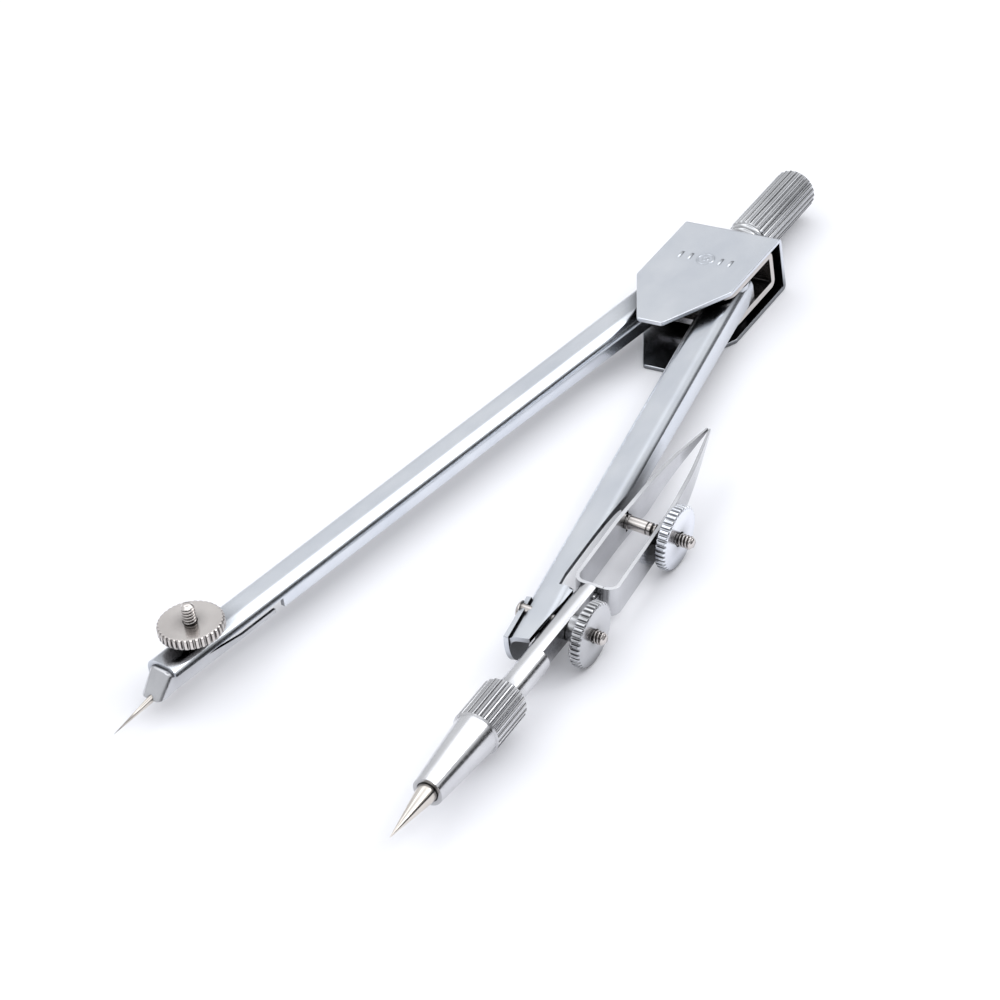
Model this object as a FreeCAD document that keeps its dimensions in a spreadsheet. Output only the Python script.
"""Drafting compass with a double-ended attachment: ruling pen at one end, steel point at the other.

Frame: the origin lies midway between the two leg pivots, on the flat underside of the head.
+Y runs along the handle, +X across the head and +Z up. Millimetres and degrees.
Each leg and the attachment have a frame of their own: -Y runs from its pivot to its point.
"""
import FreeCAD, Part
import math
import os
import re

import Sketcher
from FreeCAD import Placement, Rotation, Vector

DIMENSIONS = {
    # Fits shared by the whole instrument
    "running_gap": 0.03,
    "bore_gap": 0.04,
    "seat_gap": 0.02,
    "screw_radius": 1.0,
    "cut_reach": 80,
    # Head cover
    "head_width": 16.4,
    "head_height": 9.2,
    "head_back": 11.0,
    "head_straight": 16.5,
    "head_length": 27.4,
    "head_tip_width": 4.3,
    "head_corner": 0.8,
    "cover_sheet": 0.7,
    "cover_bend": 0.9,
    # Hinge bracket
    "bracket_width": 15.8,
    "bracket_sheet": 1.0,
    "bracket_bottom": 2.3,
    "bracket_front": 6.3,
    "bracket_back": 8.2,
    "bracket_corner": 3.0,
    "bracket_bend": 1.2,
    # Pivots
    "pivot_half": 4.8,
    "rivet_head_radius": 1.9,
    "rivet_head": 1.0,
    "rivet_sink": 0.6,
    "bush_radius": 1.28,
    "washer_radius": 2.6,
    # Handle
    "handle_level": 4.7,
    "handle_end": 31.25,
    "handle_radius": 3.45,
    "neck_radius": 1.8,
    "neck_length": 2.75,
    "shoulder_length": 1.3,
    "handle_chamfer": 0.5,
    "handle_flutes": 24,
    "flute_radius": 0.38,
    "stud_length": 12.0,
    "peen_radius": 1.22,
    "peen_height": 0.8,
    "stud_washer": 0.4,
    # Leg channels
    "leg_angle": 9.85,
    "leg_half": 2.95,
    "leg_sheet": 0.7,
    "web_top": 7.1,
    "leg_bend": 1.9,
    "wall_bottom": 3.4,
    "wall_bottom_far": 4.1,
    "wall_taper_end": 45.0,
    "leg_back": 2.0,
    "inner_wall_start": 7.5,
    # Gear teeth that keep the legs even
    "gear_teeth": 16,
    "gear_module": 0.585,
    "gear_pressure": 20,
    "gear_reach": 7.0,
    "gear_back": 85,
    "gear_front": 220,
    # Needle leg
    "needle_leg_length": 113.7,
    "needle_wall_cut": 92.4,
    "needle_wall_cut_near": 5.5,
    "needle_wall_cut_far": 5.9,
    "insert_start": 93.5,
    "insert_sheet": 0.5,
    "insert_lip": 1.0,
    "insert_half": 2.2,
    "insert_bend": 1.15,
    "insert_bend_at": 114.2,
    "insert_tip_at": 116.9,
    "insert_bottom": 3.5,
    "insert_tip_bottom": 3.0,
    "slit_start": 106.7,
    "slit_wide": 100.3,
    "slit_high": 5.0,
    "slit_low": 4.1,
    "clamp_eye_at": 107.1,
    "clamp_eye_radius": 1.35,
    "clamp_eye_bottom": 3.3,
    "needle_screw_top": 13.0,
    "needle_nut_collar": 1.4,
    "needle_radius": 0.5,
    "needle_length": 24.2,
    "needle_cone": 7.5,
    "needle_slope": 7.7,
    "needle_tip_at": 124.4,
    "needle_tip_level": 1.9,
    # Thumb nuts
    "nut_radius": 4.8,
    "nut_disc": 1.7,
    "nut_chamfer": 0.25,
    "nut_collar_radius": 1.9,
    "nut_notches": 36,
    "nut_notch_depth": 0.35,
    "nut_notch_root": 0.12,
    "nut_notch_rim": 0.24,
    "screw_chamfer": 0.3,
    # Pen leg and its tang
    "pen_leg_length": 90.15,
    "pen_cut_start": 50.0,
    "pen_cut_end": 75.0,
    "pen_cut_across": 0.5,
    "tang_start": 77.6,
    "tang_edge_near": 2.75,
    "tang_edge_far": 0.48,
    "ear_at": 85.7,
    "ear_level": 5.6,
    "ear_radius": 4.8,
    "cheek_outer": 2.05,
    "cheek_back": 6.0,
    "cheek_front": 3.6,
    "cheek_top": 1.05,
    "cheek_bottom": 4.0,
    "cheek_corner": 2.0,
    # Clamp screw and attachment frame
    "clamp_along": 84.26,
    "clamp_across": 3.66,
    "attachment_yaw": 1.08,
    "attachment_pitch": 0.16,
    "attachment_roll": 7.7,
    "clamp_head_face": 7.35,
    "clamp_head_radius": 1.4,
    "clamp_head_depth": 1.4,
    "clamp_head_round": 0.6,
    "clamp_tip": 6.3,
    "clamp_nut_face": 4.65,
    # Attachment shank and chuck
    "shank_radius": 2.0,
    "shank_flat": 0.9,
    "flat_front": 8.0,
    "shank_front": 24.0,
    "sleeve_back": 16.6,
    "sleeve_shoulder": 24.7,
    "sleeve_front": 37.5,
    "sleeve_radius": 3.5,
    "sleeve_cone_radius": 3.2,
    "sleeve_rim_radius": 2.2,
    "sleeve_chamfer": 0.5,
    "sleeve_flutes": 24,
    "collet_rim_radius": 1.55,
    "collet_slot": 0.3,
    "point_shaft": 13.0,
    "point_radius": 1.5,
    "point_base": 37.6,
    "point_tip": 47.1,
    "point_blunt": 0.05,
    # Ruling pen, in a frame that leans towards the pen leg
    "pen_across": 0.45,
    "pen_along": 7.2,
    "pen_lean": 3.3,
    "pen_sheet": 0.6,
    "pen_base_half": 3.4,
    "pen_bend": 1.8,
    "pen_mid_half": 3.25,
    "pen_inner_kink": 14.5,
    "pen_outer_kink": 20.0,
    "pen_nose_half": 2.3,
    "pen_nose_at": 29.5,
    "pen_curve": 80,
    "pen_tip_at": 39.5,
    "pen_nib": 0.3,
    "pen_slit": 0.05,
    "pen_split": 1.4,
    "pen_low": 2.9,
    "pen_high": 1.9,
    "pen_taper_start": 23.0,
    "pen_tip_low": 0.8,
    "pen_tip_high": 1.3,
    "tenon_radius": 1.0,
    "tenon_proud": 0.4,
    "pen_screw_at": 23.78,
    "pen_screw_end": 3.9,
    "pen_screw_tip": 7.5,
    "pen_screw_hole": 1.3,
    "pen_slot_half": 0.35,
    "pen_slot_reach": 1.8,
    "pen_nut_face": 5.34,
    "pen_nut_seat": 3.08,
    "pen_nut_bore_gap": 0.12,
}

document = FreeCAD.newDocument("DraftingCompass")
sheet = document.addObject("Spreadsheet::Sheet", "Sheet")

X_AXIS = Vector(1, 0, 0)
Y_AXIS = Vector(0, 1, 0)
Z_AXIS = Vector(0, 0, 1)
ORIGIN = -1
START = 1
END = 2
CENTRE = 3


# ---- Sizes -----------------------------------------------------------------------------------

def fill_sheet():
    """One row for each driving dimension: its name, its size and the alias that formulas use."""
    for row, (name, size) in enumerate(DIMENSIONS.items(), start=1):
        sheet.set(f"A{row}", name)
        sheet.set(f"B{row}", str(size))
        sheet.setAlias(f"B{row}", name)
    document.recompute()


def formula(text):
    """The text with every dimension's name turned into a reference to its cell."""
    def reference(match):
        word = match.group()
        return "Sheet." + word if word in DIMENSIONS else word
    return re.sub(r"[a-z][a-z_]*", reference, str(text))


def size(text):
    """The value of a formula."""
    return float(sheet.evalExpression(formula(text)))


# ---- Frames ----------------------------------------------------------------------------------

def leg_frame(side):
    """Origin under a leg's pivot, turned with the leg: side is 1 for the pen leg, -1 for the other."""
    pivot = Vector(side * size("pivot_half"), 0, 0)
    return Placement(pivot, Rotation(Z_AXIS, side * size("leg_angle")))


def attachment_frame():
    """Origin where the clamp screw crosses the shank, +X along the screw, +Y towards the pen."""
    height = "nut_radius * cos(attachment_roll) + clamp_nut_face * sin(attachment_roll)"
    crossing = Vector(size("clamp_across"), -size("clamp_along"), size(height))
    turn = Rotation(Z_AXIS, size("attachment_yaw"))
    turn = turn * Rotation(X_AXIS, size("attachment_pitch"))
    turn = turn * Rotation(Y_AXIS, size("attachment_roll"))
    return Placement(leg_frame(1).multVec(crossing), turn)


def pen_offset():
    """The ruling pen's frame within the attachment frame."""
    return Placement(Vector(size("pen_across"), size("pen_along"), 0), Rotation(Z_AXIS, size("pen_lean")))


# ---- Sketches --------------------------------------------------------------------------------

def make_body(name, placement=Placement()):
    body = document.addObject("PartDesign::Body", name)
    body.Label = name
    body.Placement = placement
    return body


def origin_feature(body, role):
    return next(item for item in body.Origin.OriginFeatures if item.Role == role)


def make_sketch(body, name, role, offset="0", turn=Placement()):
    """Sketch on one of the body's origin planes, moved off it by offset along the plane's normal."""
    sketch = body.newObject("Sketcher::SketchObject", f"{body.Label}_{name}")
    sketch.AttachmentSupport = [(origin_feature(body, role), "")]
    sketch.MapMode = "FlatFace"
    sketch.AttachmentOffset = turn
    if offset != "0":
        sketch.setExpression("AttachmentOffset.Base.z", formula(offset))
    document.recompute()
    return sketch


def constrain(sketch, *arguments, to=None):
    """Add a constraint, and bind its value to a formula if it has one."""
    if to is None:
        sketch.addConstraint(Sketcher.Constraint(*arguments))
        return
    index = sketch.addConstraint(Sketcher.Constraint(*arguments, size(to)))
    sketch.setExpression(f"Constraints[{index}]", formula(to))


def hold_point(sketch, item, end, across, along):
    constrain(sketch, "DistanceX", ORIGIN, START, item, end, to=across)
    constrain(sketch, "DistanceY", ORIGIN, START, item, end, to=along)


def rounded_corner(sketch, corner, before, after, radius):
    """Arc that rounds a corner between two neighbours: its index, its two end points and their ends."""
    back = (before - corner).normalize()
    ahead = (after - corner).normalize()
    half_turn = back.getAngle(ahead) / 2
    middle = (back + ahead).normalize()
    centre = corner + middle * (radius / math.sin(half_turn))
    reach = (centre - corner).dot(back)
    entry = corner + back * reach
    leave = corner + ahead * reach
    turns_left = back.cross(ahead).z < 0
    first, last = (entry, leave) if turns_left else (leave, entry)
    circle = Part.Circle(centre, Z_AXIS, radius)
    arc = sketch.addGeometry(Part.ArcOfCircle(circle, circle.parameter(first), circle.parameter(last)))
    return arc, entry, leave, (START, END) if turns_left else (END, START)


def outline(sketch, corners):
    """Closed outline through corners (across, along, rounding radius), all given as formulas."""
    places = [Vector(size(corner[0]), size(corner[1]), 0) for corner in corners]
    count = len(corners)
    arcs = {}
    for index, corner in enumerate(corners):
        if len(corner) == 3:
            before = places[index - 1]
            after = places[(index + 1) % count]
            arcs[index] = rounded_corner(sketch, places[index], before, after, size(corner[2]))
    lines = []
    for index in range(count):
        following = (index + 1) % count
        start = arcs[index][2] if index in arcs else places[index]
        end = arcs[following][1] if following in arcs else places[following]
        lines.append(sketch.addGeometry(Part.LineSegment(start, end)))
    for index, corner in enumerate(corners):
        if index not in arcs:
            constrain(sketch, "Coincident", lines[index - 1], END, lines[index], START)
            hold_point(sketch, lines[index], START, corner[0], corner[1])
            continue
        arc, _, _, (entry_end, leave_end) = arcs[index]
        point = sketch.addGeometry(Part.Point(places[index]), True)
        hold_point(sketch, point, START, corner[0], corner[1])
        constrain(sketch, "PointOnObject", point, START, lines[index - 1])
        constrain(sketch, "PointOnObject", point, START, lines[index])
        constrain(sketch, "Tangent", lines[index - 1], END, arc, entry_end)
        constrain(sketch, "Tangent", arc, leave_end, lines[index], START)
        constrain(sketch, "Radius", arc, to=corner[2])


def circle(sketch, across, along, radius):
    centre = Vector(size(across), size(along), 0)
    item = sketch.addGeometry(Part.Circle(centre, Z_AXIS, size(radius)))
    hold_point(sketch, item, CENTRE, across, along)
    constrain(sketch, "Radius", item, to=radius)


# ---- Features --------------------------------------------------------------------------------

def add_feature(body, kind, sketch, settings, bound):
    """Add a PartDesign feature and check that it changed the body's volume."""
    before = body.Shape.Volume if body.Tip else 0
    feature = body.newObject(f"PartDesign::{kind}", f"{sketch.Name}_{kind.lower()}")
    feature.Profile = sketch
    for name, setting in settings.items():
        setattr(feature, name, setting)
    for name, text in bound.items():
        feature.setExpression(name, formula(text))
    document.recompute()
    if abs(body.Shape.Volume - before) < 1e-4:
        raise RuntimeError(f"{feature.Name} changed nothing")
    return feature


def pad(body, sketch, length, both=False, back=False):
    settings = {"SideType": "Symmetric" if both else "One side", "Reversed": back}
    return add_feature(body, "Pad", sketch, settings, {"Length": length})


def cut(body, sketch, length="cut_reach", both=True, back=False):
    settings = {"SideType": "Symmetric" if both else "One side", "Reversed": back}
    return add_feature(body, "Pocket", sketch, settings, {"Length": length})


def turn_solid(body, sketch, axis="V_Axis", kind="Revolution"):
    return add_feature(body, kind, sketch, {"ReferenceAxis": (sketch, [axis])}, {})


def round_pattern(body, feature, axis, count):
    """Repeat a feature evenly round one of the body's axes."""
    pattern = body.newObject("PartDesign::PolarPattern", f"{feature.Name}_pattern")
    pattern.Originals = [feature]
    pattern.Axis = (origin_feature(body, axis), [""])
    pattern.Angle = 360
    pattern.setExpression("Occurrences", formula(count))
    body.Tip = pattern
    document.recompute()


def round_edges(body, radius, chosen):
    """Fillet the edges of the body's shape that the test picks, seen in the body's own frame."""
    base = body.Tip
    names = [f"Edge{index}" for index, edge in enumerate(base.Shape.Edges, start=1) if chosen(edge)]
    feature = body.newObject("PartDesign::Fillet", f"{body.Label}_rounding_{len(body.Group)}")
    feature.Base = (base, names)
    feature.setExpression("Radius", formula(radius))
    document.recompute()


def edge_runs(edge, axis, level):
    """True if a straight edge runs along the axis at the level: a height for Y, else a place along Y."""
    if edge.Curve.TypeId != "Part::GeomLine":
        return False
    middle = edge.CenterOfMass
    place = middle.z if axis == Y_AXIS else middle.y
    return abs(edge.tangentAt(edge.FirstParameter).dot(axis)) > 0.999 and abs(place - level) < 0.01


# ---- Head ------------------------------------------------------------------------------------

def make_head_cover():
    """Six-sided cover: top and bottom plates joined by the end wall, open at both sides."""
    body = make_body("head_cover")
    plan = make_sketch(body, "plan", "XY_Plane")
    front = "head_back - head_length"
    knee = "head_back - head_straight"
    outline(plan, [
        ("head_width / 2", "head_back"),
        ("-head_width / 2", "head_back"),
        ("-head_width / 2", knee, "head_corner"),
        ("-head_tip_width / 2", front, "head_corner"),
        ("head_tip_width / 2", front, "head_corner"),
        ("head_width / 2", knee, "head_corner"),
    ])
    pad(body, plan, "head_height")
    inside = make_sketch(body, "inside", "YZ_Plane")
    outline(inside, [
        ("head_back - cover_sheet", "cover_sheet"),
        ("head_back - cover_sheet", "head_height - cover_sheet"),
        ("-head_length", "head_height - cover_sheet"),
        ("-head_length", "cover_sheet"),
    ])
    cut(body, inside)
    hole = make_sketch(body, "stud_hole", "XZ_Plane", "-head_back")
    circle(hole, "0", "handle_level", "screw_radius + seat_gap")
    cut(body, hole, "cover_sheet * 4")
    back = size("head_back")
    round_edges(body, "cover_bend", lambda edge: edge_runs(edge, X_AXIS, back))
    return body


def over_pivot():
    """Moves a sketch from the middle of the head to the pen leg's pivot."""
    return Placement(Vector(size("pivot_half"), 0, 0), Rotation())


def make_hinge_bracket():
    """U strap under the top plate, which holds both leg pivots clear of the cover's end wall."""
    body = make_body("hinge_bracket")
    side = make_sketch(body, "side", "YZ_Plane")
    top = "head_height - cover_sheet"
    wall = "bracket_back"
    outline(side, [
        ("-bracket_front", "bracket_bottom"),
        (wall, "bracket_bottom", "bracket_bend"),
        (wall, top, "bracket_bend"),
        ("-bracket_front", top),
        ("-bracket_front", f"{top} - bracket_sheet"),
        (f"{wall} - bracket_sheet", f"{top} - bracket_sheet", "bracket_bend / 8"),
        (f"{wall} - bracket_sheet", "bracket_bottom + bracket_sheet", "bracket_bend / 8"),
        ("-bracket_front", "bracket_bottom + bracket_sheet"),
    ])
    pad(body, side, "bracket_width", both=True)
    holes = make_sketch(body, "rivet_holes", "XY_Plane")
    circle(holes, "pivot_half", "0", "screw_radius + seat_gap")
    circle(holes, "-pivot_half", "0", "screw_radius + seat_gap")
    cut(body, holes)
    sink = make_sketch(body, "sink", "XZ_Plane", turn=over_pivot())
    outline(sink, [
        ("0", top),
        ("0", f"{top} - rivet_sink"),
        ("screw_radius + seat_gap", f"{top} - rivet_sink"),
        ("screw_radius + rivet_sink + seat_gap", top),
    ])
    sunk = turn_solid(body, sink, kind="Groove")
    round_pattern(body, sunk, "Z_Axis", "2")
    stud_hole = make_sketch(body, "stud_hole", "XZ_Plane", f"-{wall}")
    circle(stud_hole, "0", "handle_level", "screw_radius + seat_gap")
    cut(body, stud_hole, "bracket_sheet * 4")
    front = -size("bracket_front")
    round_edges(body, "bracket_corner", lambda edge: edge_runs(edge, Z_AXIS, front))
    return body


def handle_frame():
    """The handle's own axis is its +Y."""
    return Placement(Vector(0, 0, size("handle_level")), Rotation())


def make_handle_grip():
    """Turned grip with straight flutes, a smooth neck and a blind hole for the stud."""
    body = make_body("handle_grip", handle_frame())
    profile = make_sketch(body, "profile", "XY_Plane")
    shoulder = "head_back + neck_length"
    outline(profile, [
        ("screw_radius + seat_gap", "head_back"),
        ("neck_radius", "head_back"),
        ("neck_radius", shoulder),
        ("handle_radius", f"{shoulder} + shoulder_length"),
        ("handle_radius", "handle_end - handle_chamfer"),
        ("handle_radius - handle_chamfer", "handle_end"),
        ("0", "handle_end"),
        ("0", "head_back + stud_length"),
        ("screw_radius + seat_gap", "head_back + stud_length"),
    ])
    turn_solid(body, profile)
    flute = make_sketch(body, "flute", "XZ_Plane", "-(head_back + neck_length + handle_end) / 2")
    circle(flute, "0", "handle_radius + flute_radius / 4", "flute_radius")
    fluted = cut(body, flute, "handle_end - head_back - neck_length + running_gap")
    round_pattern(body, fluted, "Y_Axis", "handle_flutes")
    return body


def make_handle_stud():
    """Stud through the cover's end wall and the bracket's wall, peened over inside the bracket."""
    body = make_body("handle_stud", handle_frame())
    profile = make_sketch(body, "profile", "XY_Plane")
    seat = "bracket_back - bracket_sheet - stud_washer"
    outline(profile, [
        ("0", f"{seat} - peen_height"),
        ("peen_radius", f"{seat} - peen_height", "peen_height * 0.8"),
        ("peen_radius", seat),
        ("screw_radius", seat),
        ("screw_radius", "head_back + stud_length - running_gap"),
        ("0", "head_back + stud_length - running_gap"),
    ])
    turn_solid(body, profile)
    return body


def make_stud_washer():
    body = make_body("stud_washer", handle_frame())
    ring = make_sketch(body, "ring", "XZ_Plane", "-(bracket_back - bracket_sheet)")
    circle(ring, "0", "0", "peen_radius")
    circle(ring, "0", "0", "screw_radius + seat_gap")
    pad(body, ring, "stud_washer")
    return body


def make_pivot_rivets():
    """Two rivets: pan heads under the bracket, countersunk heads flush with its top."""
    body = make_body("pivot_rivets")
    profile = make_sketch(body, "profile", "XZ_Plane", turn=over_pivot())
    top = "head_height - cover_sheet"
    outline(profile, [
        ("0", "bracket_bottom - rivet_head"),
        ("rivet_head_radius", "bracket_bottom - rivet_head", "rivet_head / 2"),
        ("rivet_head_radius", "bracket_bottom"),
        ("screw_radius", "bracket_bottom"),
        ("screw_radius", f"{top} - rivet_sink"),
        ("screw_radius + rivet_sink", top),
        ("0", top),
    ])
    rivet = turn_solid(body, profile)
    round_pattern(body, rivet, "Z_Axis", "2")
    return body


def make_pivot_rings(name, low, high, radius):
    """Two equal rings, one round each pivot, from the low level to the high one."""
    body = make_body(name)
    ring = make_sketch(body, "ring", "XY_Plane", low)
    circle(ring, "pivot_half", "0", radius)
    circle(ring, "pivot_half", "0", "screw_radius + seat_gap")
    padded = pad(body, ring, f"{high} - ({low})")
    round_pattern(body, padded, "Z_Axis", "2")
    return body


def make_pivot_bushes():
    """Spacer tubes that carry the legs above the bracket's lower flange."""
    web_bottom = "web_top - leg_sheet"
    low = "bracket_bottom + bracket_sheet"
    return make_pivot_rings("pivot_bushes", low, f"{web_bottom} - running_gap", "bush_radius")


def make_friction_washers():
    """Washers between the legs and the bracket's upper flange."""
    flange = "head_height - cover_sheet - bracket_sheet"
    return make_pivot_rings("friction_washers", "web_top + running_gap", flange, "washer_radius")


# ---- Legs ------------------------------------------------------------------------------------

def gap_corners():
    """Gap between two involute teeth, centred on +X: corners at the root, base, pitch and outside."""
    pitch = "gear_module * gear_teeth / 2"
    base = f"{pitch} * cos(gear_pressure * 1 deg)"
    pitch_gap = "pi / 2 / gear_teeth - tan(gear_pressure * 1 deg) + gear_pressure * 1 deg / 1 rad"
    radii = (f"{pitch} - gear_module * 1.25", base, pitch, f"{pitch} + gear_module * 1.8")
    corners = []
    for radius in radii:
        swing = f"acos(min(1; {base} / ({radius})))"
        half_angle = f"({pitch_gap} + tan({swing}) - {swing} / 1 rad) * 1 rad"
        corners.append((f"({radius}) * cos({half_angle})", f"({radius}) * sin({half_angle})"))
    mirrored = [(across, f"-({along})") for across, along in corners]
    return mirrored + corners[::-1]


def gear_sector(body, inner_side):
    """Toothed web end: involute teeth facing the other leg, cut back to a plain hub elsewhere."""
    disc = make_sketch(body, "gear", "XY_Plane", "web_top - leg_sheet")
    circle(disc, "0", "0", "gear_module * (gear_teeth / 2 + 1)")
    pad(body, disc, "leg_sheet")
    towards_other = size("leg_angle") if inner_side > 0 else 180 - size("leg_angle")
    half_pitch = 180 / size("gear_teeth") if inner_side > 0 else 0
    turn = Placement(Vector(), Rotation(Z_AXIS, towards_other + half_pitch))
    gap = make_sketch(body, "gap", "XY_Plane", turn=turn)
    outline(gap, gap_corners())
    gapped = cut(body, gap)
    round_pattern(body, gapped, "Z_Axis", "gear_teeth")
    trim_hub(body, inner_side)


def trim_hub(body, inner_side):
    """Cut the gear back to the hub's radius, except in the sector that meets the other leg."""
    trim = make_sketch(body, "hub", "XY_Plane")
    first, last = (size("gear_front"), size("gear_back") + 360)
    if inner_side > 0:
        first, last = (180 - last, 180 - first)
    rims = []
    for radius in ("leg_half", "gear_reach"):
        rim = Part.Circle(Vector(), Z_AXIS, size(radius))
        start = rim.parameter(Rotation(Z_AXIS, first) * Vector(rim.Radius, 0, 0))
        end = rim.parameter(Rotation(Z_AXIS, last) * Vector(rim.Radius, 0, 0))
        rims.append(trim.addGeometry(Part.ArcOfCircle(rim, start, end)))
        constrain(trim, "Coincident", rims[-1], CENTRE, ORIGIN, START)
        constrain(trim, "Radius", rims[-1], to=radius)
    for end in (START, END):
        edge = trim.addGeometry(Part.LineSegment(trim.getPoint(rims[0], end), trim.getPoint(rims[1], end)))
        constrain(trim, "Coincident", rims[0], end, edge, START)
        constrain(trim, "Coincident", rims[1], end, edge, END)
        constrain(trim, "PointOnObject", ORIGIN, START, edge)
    cut(body, trim)


def channel_section(body, length):
    """Open-down channel from behind the pivot to the leg's end."""
    section = make_sketch(body, "section", "XZ_Plane", "-leg_back")
    inner = "leg_half - leg_sheet"
    outline(section, [
        ("-leg_half", "wall_bottom"),
        ("-leg_half", "web_top", "leg_bend"),
        ("leg_half", "web_top", "leg_bend"),
        ("leg_half", "wall_bottom"),
        (inner, "wall_bottom"),
        (inner, "web_top - leg_sheet", "leg_bend - leg_sheet"),
        (f"-({inner})", "web_top - leg_sheet", "leg_bend - leg_sheet"),
        (f"-({inner})", "wall_bottom"),
    ])
    pad(body, section, f"{length} + leg_back")


def slope_walls(body):
    """The walls get lower from the head to the end of the taper."""
    under = make_sketch(body, "under", "YZ_Plane")
    outline(under, [
        ("0", "wall_bottom"),
        ("-wall_taper_end", "wall_bottom_far"),
        ("-needle_leg_length * 2", "wall_bottom_far"),
        ("-needle_leg_length * 2", "0"),
        ("0", "0"),
    ])
    cut(body, under)


def open_inner_wall(body, inner_side):
    """The inner wall stops short of the hub."""
    near = f"{inner_side} * leg_half / 2"
    far = f"{inner_side} * leg_half * 2"
    gap = make_sketch(body, "hub_side", "XY_Plane")
    outline(gap, [
        (near, "leg_back * 2"),
        (near, "-inner_wall_start"),
        (far, "-inner_wall_start"),
        (far, "leg_back * 2"),
    ])
    cut(body, gap, "web_top - leg_sheet", both=False, back=True)


def drill(body, name, along, radius="screw_radius + bore_gap"):
    """Upright hole through the web on the leg's centre line."""
    hole = make_sketch(body, name, "XY_Plane")
    circle(hole, "0", f"-({along})", radius)
    cut(body, hole)


def leg_blank(name, side, length):
    """What both legs share: toothed hub, channel, sloping walls and pivot hole."""
    body = make_body(name, leg_frame(side))
    inner_side = -side
    gear_sector(body, inner_side)
    channel_section(body, length)
    open_inner_wall(body, inner_side)
    slope_walls(body)
    drill(body, "pivot_hole", "0")
    return body


def make_needle_leg():
    body = leg_blank("needle_leg", -1, "needle_leg_length")
    side_cut = make_sketch(body, "side_cut", "YZ_Plane")
    outline(side_cut, [
        ("-needle_wall_cut", "0"),
        ("-needle_wall_cut", "needle_wall_cut_near"),
        ("-needle_leg_length - leg_back", "needle_wall_cut_far"),
        ("-needle_leg_length - leg_back", "0"),
    ])
    cut(body, side_cut, "leg_half * 2", both=False, back=True)
    drill(body, "screw_hole", "clamp_eye_at")
    return body


def needle_frame():
    """Origin at the needle's tip, +Y up along the needle towards the leg's web."""
    tip = Vector(0, -size("needle_tip_at"), size("needle_tip_level"))
    return leg_frame(-1) * Placement(tip, Rotation(X_AXIS, size("needle_slope")))


def needle_bore(body, name):
    """Bore along the needle through a piece that stands in the leg's frame."""
    in_leg = leg_frame(-1).inverse() * needle_frame()
    bore = make_sketch(body, name, "XY_Plane", turn=in_leg * Placement(Vector(), Rotation(X_AXIS, 90)))
    circle(bore, "0", "0", "needle_radius + bore_gap")
    cut(body, bore)


def make_needle_clamp():
    """Folded insert inside the leg; its nose bends down and the needle comes out of a notch in it."""
    body = make_body("needle_clamp", leg_frame(-1))
    side = make_sketch(body, "side", "YZ_Plane")
    top = "web_top - leg_sheet - seat_gap"
    outline(side, [
        ("-insert_start", "insert_bottom"),
        ("-insert_start", top),
        ("-insert_bend_at", top, "insert_sheet * 1.5"),
        ("-insert_tip_at", "insert_tip_bottom"),
        ("-insert_bend_at", "insert_bottom"),
    ])
    pad(body, side, "insert_half * 2", both=True)
    level = size(top)
    round_edges(body, "insert_bend", lambda edge: edge_runs(edge, Y_AXIS, level))
    hollow = make_sketch(body, "hollow", "YZ_Plane")
    outline(hollow, [
        ("-insert_start + insert_lip", "0"),
        ("-insert_start + insert_lip", f"{top} - insert_sheet"),
        ("-insert_bend_at + insert_sheet / 2", f"{top} - insert_sheet", "insert_sheet / 2"),
        ("-insert_tip_at + insert_sheet * 1.2", "insert_tip_bottom"),
        ("-insert_tip_at + insert_sheet * 1.2", "0"),
    ])
    cut(body, hollow, "(insert_half - insert_sheet) * 2")
    slit = make_sketch(body, "slit", "YZ_Plane")
    outline(slit, [
        ("-slit_start", "slit_high"),
        ("-slit_wide", "slit_low"),
        ("-insert_start + insert_lip", "slit_low"),
        ("-insert_start + insert_lip", "needle_wall_cut_near"),
        ("-slit_wide", "needle_wall_cut_near"),
    ])
    cut(body, slit, "insert_half * 2", both=False, back=True)
    drill(body, "screw_hole", "clamp_eye_at", "screw_radius + seat_gap")
    needle_bore(body, "notch")
    return body


def make_needle_clamp_screw():
    """Upright eye screw: the needle runs through the eye under the insert."""
    at_eye = leg_frame(-1) * Placement(Vector(0, -size("clamp_eye_at"), 0), Rotation())
    body = make_body("needle_clamp_screw", at_eye)
    profile = make_sketch(body, "profile", "XZ_Plane")
    shoulder = "web_top - leg_sheet - seat_gap - insert_sheet"
    outline(profile, [
        ("0", "clamp_eye_bottom"),
        ("clamp_eye_radius", "clamp_eye_bottom", "screw_chamfer"),
        ("clamp_eye_radius", shoulder),
        ("screw_radius", shoulder),
        ("screw_radius", "needle_screw_top - screw_chamfer"),
        ("screw_radius - screw_chamfer", "needle_screw_top"),
        ("0", "needle_screw_top"),
    ])
    turn_solid(body, profile)
    in_piece = at_eye.inverse() * needle_frame()
    eye = make_sketch(body, "eye", "XY_Plane", turn=in_piece * Placement(Vector(), Rotation(X_AXIS, 90)))
    circle(eye, "0", "0", "needle_radius + bore_gap")
    cut(body, eye)
    return body


def make_steel_needle():
    body = make_body("steel_needle", needle_frame())
    profile = make_sketch(body, "profile", "XY_Plane")
    outline(profile, [
        ("0", "0"),
        ("needle_radius", "needle_cone"),
        ("needle_radius", "needle_length - needle_radius"),
        ("needle_radius / 2", "needle_length"),
        ("0", "needle_length"),
    ])
    turn_solid(body, profile)
    return body


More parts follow.
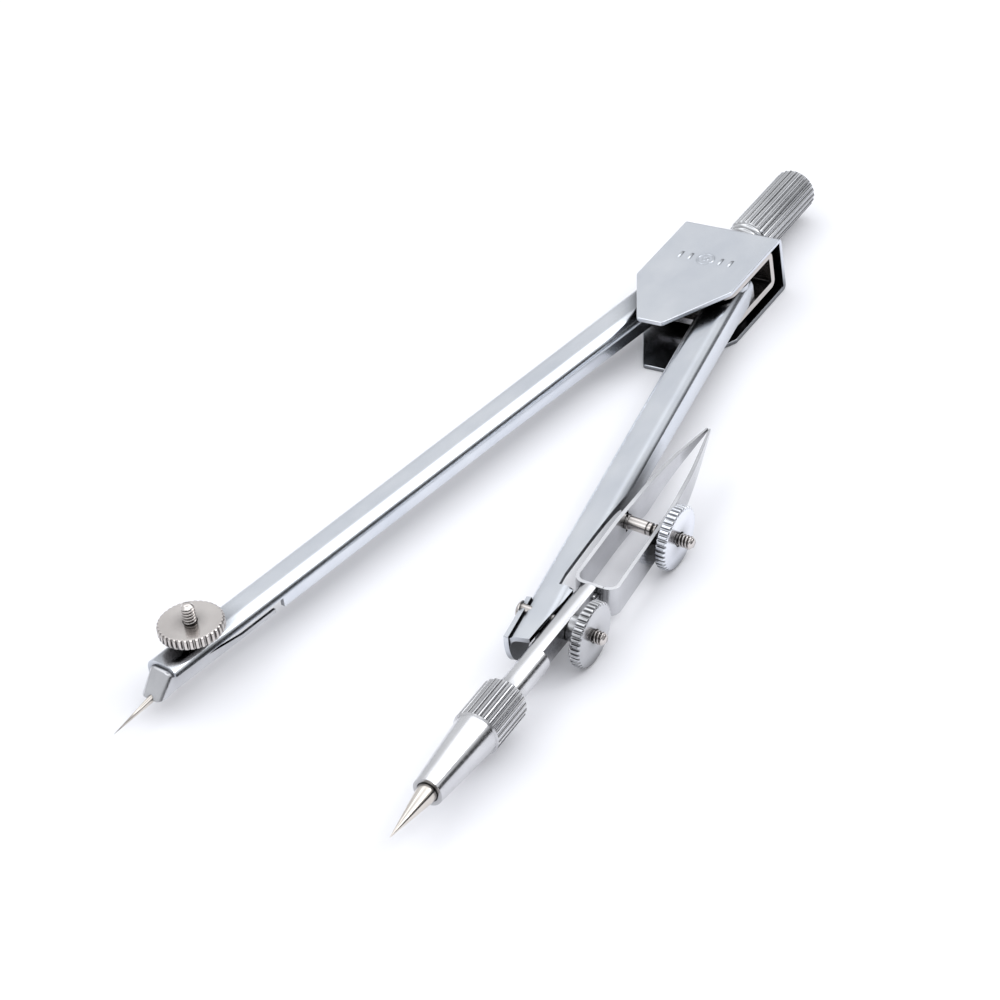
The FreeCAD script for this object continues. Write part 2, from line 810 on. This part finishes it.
def make_thumb_nut(name, placement, collar, bore_gap="bore_gap"):
    """Knurled disc on a round collar; its own +Z is the screw's axis, from the collar's end."""
    body = make_body(name, placement)
    profile = make_sketch(body, "profile", "XZ_Plane")
    bore = f"screw_radius + {bore_gap}"
    face = f"{collar} + nut_disc"
    outline(profile, [
        (bore, "0"),
        ("nut_collar_radius", "0"),
        ("nut_collar_radius", collar),
        ("nut_radius - nut_chamfer", collar),
        ("nut_radius", f"{collar} + nut_chamfer"),
        ("nut_radius", f"{face} - nut_chamfer"),
        ("nut_radius - nut_chamfer", face),
        (bore, face),
    ])
    turn_solid(body, profile)
    notch = make_sketch(body, "notch", "XY_Plane", collar)
    outline(notch, [
        ("nut_radius - nut_notch_depth", "nut_notch_root"),
        ("nut_radius - nut_notch_depth", "-nut_notch_root"),
        ("nut_radius + nut_notch_depth", "nut_notch_root - nut_notch_rim * 2"),
        ("nut_radius + nut_notch_depth", "nut_notch_rim * 2 - nut_notch_root"),
    ])
    notched = cut(body, notch, "nut_disc", both=False, back=True)
    round_pattern(body, notched, "Z_Axis", "nut_notches")
    return body


def make_needle_thumb_nut():
    seat = Vector(0, -size("clamp_eye_at"), size("web_top + running_gap"))
    placement = leg_frame(-1) * Placement(seat, Rotation())
    return make_thumb_nut("needle_thumb_nut", placement, "needle_nut_collar - running_gap")


def attachment_in_leg():
    """The attachment's frame as seen from the pen leg."""
    return leg_frame(1).inverse() * attachment_frame()


def across_screw():
    """Turns a sketch's normal to the clamp screw, with its first axis along the attachment."""
    return Placement(Vector(), Rotation(Vector(1, 1, 1), 120))


def trim_tang(body):
    """Past the notch nothing of the outer wall is left under the web."""
    under = make_sketch(body, "tang_under", "XY_Plane")
    outline(under, [
        ("pen_cut_across", "-pen_cut_end"),
        ("pen_cut_across", "-pen_leg_length - leg_back"),
        ("leg_half * 2", "-pen_leg_length - leg_back"),
        ("leg_half * 2", "-pen_cut_end"),
    ])
    cut(body, under, "web_top - leg_sheet", both=False, back=True)


def make_pen_leg():
    """Channel that loses its outer wall, then a yoke: a round ear on one side, a cheek on the other."""
    body = leg_blank("pen_leg", 1, "pen_leg_length")
    plan = make_sketch(body, "plan_cut", "XY_Plane")
    outline(plan, [
        ("leg_half", "-pen_cut_start"),
        ("pen_cut_across", "-pen_cut_end"),
        ("pen_cut_across", "-tang_start"),
        ("tang_edge_near", "-tang_start"),
        ("tang_edge_far", "-pen_leg_length - leg_back"),
        ("leg_half * 2", "-pen_leg_length - leg_back"),
        ("leg_half * 2", "-pen_cut_start"),
    ])
    cut(body, plan)
    trim_tang(body)
    ear = make_sketch(body, "ear", "YZ_Plane", "-leg_half")
    circle(ear, "-ear_at", "ear_level", "ear_radius")
    pad(body, ear, "leg_sheet")
    ear_top = make_sketch(body, "ear_top", "XY_Plane", "web_top")
    outline(ear_top, [
        ("-leg_half * 2", "-ear_at + ear_radius * 2"),
        ("-leg_half * 2", "-ear_at - ear_radius * 2"),
        ("leg_half", "-ear_at - ear_radius * 2"),
        ("leg_half", "-ear_at + ear_radius * 2"),
    ])
    cut(body, ear_top, "ear_radius", both=False, back=True)
    in_leg = attachment_in_leg()
    outer_face = Vector(-size("cheek_outer") - size("leg_sheet"), 0, 0)
    side = in_leg * Placement(outer_face, across_screw().Rotation)
    cheek = make_sketch(body, "cheek", "XY_Plane", turn=side)
    outline(cheek, [
        ("-cheek_front", "cheek_top"),
        ("-cheek_front", "-cheek_bottom", "cheek_corner"),
        ("cheek_back", "-cheek_bottom", "cheek_corner"),
        ("cheek_back", "cheek_top"),
    ])
    pad(body, cheek, "leg_sheet")
    bore = make_sketch(body, "clamp_bore", "XY_Plane", turn=in_leg * across_screw())
    circle(bore, "0", "0", "screw_radius + seat_gap")
    cut(body, bore)
    return body


# ---- Clamp -----------------------------------------------------------------------------------

def screw_frame():
    """+Z along the clamp screw, towards its nut."""
    return attachment_frame() * across_screw()


def make_clamp_screw():
    """Cross screw; its head is faced off to lie flat on the ear."""
    body = make_body("clamp_screw", screw_frame())
    head = make_sketch(body, "head", "XZ_Plane")
    outline(head, [
        ("0", "-clamp_head_face"),
        ("clamp_head_radius", "-clamp_head_face", "clamp_head_round"),
        ("clamp_head_radius", "-clamp_head_face + clamp_head_depth"),
        ("0", "-clamp_head_face + clamp_head_depth"),
    ])
    turn_solid(body, head)
    ear_middle = Vector(-size("leg_half"), -size("ear_at"), size("ear_level"))
    ear_face = Placement(ear_middle, across_screw().Rotation)
    seat = make_sketch(body, "seat", "XY_Plane", turn=screw_frame().inverse() * leg_frame(1) * ear_face)
    circle(seat, "0", "0", "ear_radius * 2")
    cut(body, seat, "ear_radius", both=False, back=True)
    shank = make_sketch(body, "shank", "XZ_Plane")
    outline(shank, [
        ("0", "-clamp_head_face + screw_chamfer"),
        ("screw_radius", "-clamp_head_face + screw_chamfer"),
        ("screw_radius", "clamp_tip - screw_chamfer"),
        ("screw_radius - screw_chamfer", "clamp_tip"),
        ("0", "clamp_tip"),
    ])
    turn_solid(body, shank)
    return body


def make_clamp_thumb_nut():
    seat = Placement(Vector(0, 0, size("shank_flat + running_gap")), Rotation())
    collar = "clamp_nut_face - nut_disc - shank_flat - running_gap"
    return make_thumb_nut("clamp_thumb_nut", screw_frame() * seat, collar)


# ---- Attachment ------------------------------------------------------------------------------

def make_attachment_shank():
    """Round shank with a flat for the nut, a cross bore, and a tenon peened into the ruling pen."""
    body = make_body("attachment_shank", attachment_frame())
    rod = make_sketch(body, "rod", "XZ_Plane", "-pen_along * 1.2")
    circle(rod, "0", "0", "shank_radius")
    pad(body, rod, "shank_front + pen_along * 1.2")
    top = make_sketch(body, "top", "XY_Plane", turn=pen_offset())
    outline(top, [
        ("-shank_radius * 2", "0"),
        ("shank_radius * 2", "0"),
        ("shank_radius * 2", "pen_along"),
        ("-shank_radius * 2", "pen_along"),
    ])
    cut(body, top)
    flat = make_sketch(body, "flat", "XY_Plane")
    outline(flat, [
        ("shank_flat", "pen_along * 2"),
        ("shank_flat", "-flat_front"),
        ("shank_radius * 2", "-flat_front"),
        ("shank_radius * 2", "pen_along * 2"),
    ])
    cut(body, flat)
    cross = make_sketch(body, "cross_bore", "YZ_Plane")
    circle(cross, "0", "0", "screw_radius + bore_gap")
    cut(body, cross)
    along_pen = pen_offset() * Placement(Vector(), Rotation(X_AXIS, 90))
    tenon = make_sketch(body, "tenon", "XY_Plane", turn=along_pen)
    circle(tenon, "0", "0", "tenon_radius")
    pad(body, tenon, "(pen_sheet + tenon_proud) * 2", both=True)
    return body


def make_chuck_collet():
    """Split collet on the front of the shank."""
    body = make_body("chuck_collet", attachment_frame())
    profile = make_sketch(body, "profile", "XY_Plane")
    bore = "screw_radius + bore_gap"
    front = "-sleeve_front + collet_slot"
    outline(profile, [
        (bore, "-shank_front"),
        (bore, front),
        ("collet_rim_radius", front),
        ("shank_radius", "-shank_front"),
    ])
    turn_solid(body, profile)
    slot = make_sketch(body, "slot", "XY_Plane")
    outline(slot, [
        ("-collet_slot / 2", "-shank_front * 1.2"),
        ("collet_slot / 2", "-shank_front * 1.2"),
        ("collet_slot / 2", "-point_tip"),
        ("-collet_slot / 2", "-point_tip"),
    ])
    slotted = cut(body, slot)
    round_pattern(body, slotted, "Y_Axis", "4")
    return body


def make_chuck_sleeve():
    """Closing sleeve: fluted at the back, then a long cone to its rim."""
    body = make_body("chuck_sleeve", attachment_frame())
    profile = make_sketch(body, "profile", "XY_Plane")
    bore = "shank_radius + bore_gap"
    outline(profile, [
        (bore, "-sleeve_back"),
        ("sleeve_radius - sleeve_chamfer", "-sleeve_back"),
        ("sleeve_radius", "-sleeve_back - sleeve_chamfer"),
        ("sleeve_radius", "-sleeve_shoulder"),
        ("sleeve_cone_radius", "-sleeve_shoulder - sleeve_chamfer / 2"),
        ("sleeve_rim_radius", "-sleeve_front"),
        ("collet_rim_radius + bore_gap", "-sleeve_front"),
        (bore, "-shank_front"),
    ])
    turn_solid(body, profile)
    flute = make_sketch(body, "flute", "XZ_Plane", "(sleeve_back + sleeve_shoulder) / 2")
    circle(flute, "0", "sleeve_radius + flute_radius / 4", "flute_radius")
    fluted = cut(body, flute, "sleeve_shoulder - sleeve_back + running_gap")
    round_pattern(body, fluted, "Y_Axis", "sleeve_flutes")
    return body


def make_steel_point():
    body = make_body("steel_point", attachment_frame())
    profile = make_sketch(body, "profile", "XY_Plane")
    outline(profile, [
        ("0", "-point_base + point_shaft"),
        ("screw_radius", "-point_base + point_shaft"),
        ("screw_radius", "-point_base"),
        ("point_radius", "-point_base"),
        ("point_blunt", "-point_tip"),
        ("0", "-point_tip"),
    ])
    turn_solid(body, profile)
    return body


# ---- Ruling pen ------------------------------------------------------------------------------

def pen_frame():
    return attachment_frame() * pen_offset()


def taper_blade(body):
    """Cut the blade's upper and lower edges so that it narrows to a nib."""
    for name, edge, tip, beyond in (
        ("upper_taper", "pen_high", "pen_tip_high", "pen_high * 2"),
        ("lower_taper", "-pen_low", "pen_tip_low", "-pen_low * 2"),
    ):
        side = make_sketch(body, name, "YZ_Plane")
        outline(side, [
            ("pen_taper_start", edge),
            ("pen_tip_at", tip),
            ("pen_tip_at + pen_sheet", tip),
            ("pen_tip_at + pen_sheet", beyond),
            ("pen_taper_start", beyond),
        ])
        cut(body, side)


def pad_blade(body, corners):
    """Blade of sheet metal between the pen's lower and upper edges."""
    plan = make_sketch(body, "plan", "XY_Plane", "-pen_low")
    outline(plan, corners)
    pad(body, plan, "pen_low + pen_high")
    taper_blade(body)


def bore_across(body, name, radius):
    """Bore for the adjusting screw, square to the attachment's axis."""
    bore = make_sketch(body, name, "XY_Plane", turn=pen_offset().inverse() * adjust_screw_offset())
    circle(bore, "0", "0", radius)
    cut(body, bore)


def adjust_screw_offset():
    """+Z along the adjusting screw, within the attachment frame."""
    return Placement(Vector(0, size("pen_screw_at"), 0), across_screw().Rotation)


def blade_corners(side, kink, base):
    """Outline of one blade: side is -1 for the inner blade and 1 for the outer one.

    The blade runs from the base's end, round the bend and past two gentle curves to the nib.
    """
    outer_half = f"{side} * pen_mid_half"
    inner_half = f"{side} * (pen_mid_half - pen_sheet)"
    return [
        (base, "0"),
        (f"{side} * pen_base_half", "0", "pen_bend"),
        (outer_half, kink, "pen_curve"),
        (f"{side} * pen_nose_half", "pen_nose_at", "pen_curve"),
        (f"{side} * (pen_slit + pen_nib)", "pen_tip_at"),
        (f"{side} * pen_slit", "pen_tip_at"),
        (f"{side} * (pen_nose_half - pen_sheet)", "pen_nose_at", "pen_curve"),
        (inner_half, kink, "pen_curve"),
        (f"{side} * (pen_base_half - pen_sheet)", "pen_sheet", "pen_bend - pen_sheet"),
        (base, "pen_sheet"),
    ]


def make_pen_inner_blade():
    """Inner blade and the base that bends round towards the outer one."""
    body = make_body("pen_inner_blade", pen_frame())
    pad_blade(body, blade_corners(-1, "pen_inner_kink", "pen_split - running_gap"))
    tenon_hole = make_sketch(body, "tenon_hole", "XZ_Plane")
    circle(tenon_hole, "0", "0", "tenon_radius + seat_gap")
    cut(body, tenon_hole, "pen_sheet * 4")
    bore_across(body, "screw_hole", "screw_radius + seat_gap")
    slot = make_sketch(body, "slot", "XY_Plane", turn=pen_offset().inverse() * adjust_screw_offset())
    outline(slot, [
        ("-pen_slot_half", "-pen_slot_reach"),
        ("pen_slot_half", "-pen_slot_reach"),
        ("pen_slot_half", "pen_slot_reach"),
        ("-pen_slot_half", "pen_slot_reach"),
    ])
    cut(body, slot, "pen_base_half * 2", both=False)
    return body


def make_pen_outer_blade():
    """Outer blade, sprung outwards by the base's right corner."""
    body = make_body("pen_outer_blade", pen_frame())
    pad_blade(body, blade_corners(1, "pen_outer_kink", "pen_split"))
    bore_across(body, "screw_hole", "pen_screw_hole")
    return body


def make_pen_adjust_screw():
    body = make_body("pen_adjust_screw", attachment_frame() * adjust_screw_offset())
    profile = make_sketch(body, "profile", "XZ_Plane")
    outline(profile, [
        ("0", "-pen_screw_end"),
        ("screw_radius - screw_chamfer", "-pen_screw_end"),
        ("screw_radius", "-pen_screw_end + screw_chamfer"),
        ("screw_radius", "pen_screw_tip - screw_chamfer"),
        ("screw_radius - screw_chamfer", "pen_screw_tip"),
        ("0", "pen_screw_tip"),
    ])
    turn_solid(body, profile)
    return body


def make_pen_thumb_nut():
    seat = Placement(Vector(0, 0, size("pen_nut_seat")), Rotation())
    collar = "pen_nut_face - nut_disc - pen_nut_seat"
    placement = attachment_frame() * adjust_screw_offset() * seat
    return make_thumb_nut("pen_thumb_nut", placement, collar, "pen_nut_bore_gap")


# ---- Whole instrument ------------------------------------------------------------------------

MAKERS = (
    make_head_cover,
    make_hinge_bracket,
    make_handle_grip,
    make_handle_stud,
    make_stud_washer,
    make_pivot_rivets,
    make_pivot_bushes,
    make_friction_washers,
    make_needle_leg,
    make_needle_clamp,
    make_needle_clamp_screw,
    make_needle_thumb_nut,
    make_steel_needle,
    make_pen_leg,
    make_clamp_screw,
    make_clamp_thumb_nut,
    make_attachment_shank,
    make_pen_inner_blade,
    make_pen_outer_blade,
    make_pen_adjust_screw,
    make_pen_thumb_nut,
    make_chuck_collet,
    make_chuck_sleeve,
    make_steel_point,
)


def check(bodies):
    """Stop if any object of the document failed, or any piece has no sound shape."""
    document.recompute()
    for item in document.Objects:
        if {"Invalid", "Error"} & set(item.State):
            raise RuntimeError(f"{item.Name} failed: {item.State}")
    for body in bodies:
        if body.Shape.isNull() or not body.Shape.isValid():
            raise RuntimeError(f"{body.Label} has no sound shape")


def write(bodies):
    os.makedirs("parts", exist_ok=True)
    for body in bodies:
        body.Shape.exportStep(f"parts/{body.Label}.step")
        print(f"{body.Label}: {len(body.Shape.Solids)} solid(s), {body.Shape.Volume:.1f} mm3")


fill_sheet()
pieces = [make() for make in MAKERS]
check(pieces)
write(pieces)
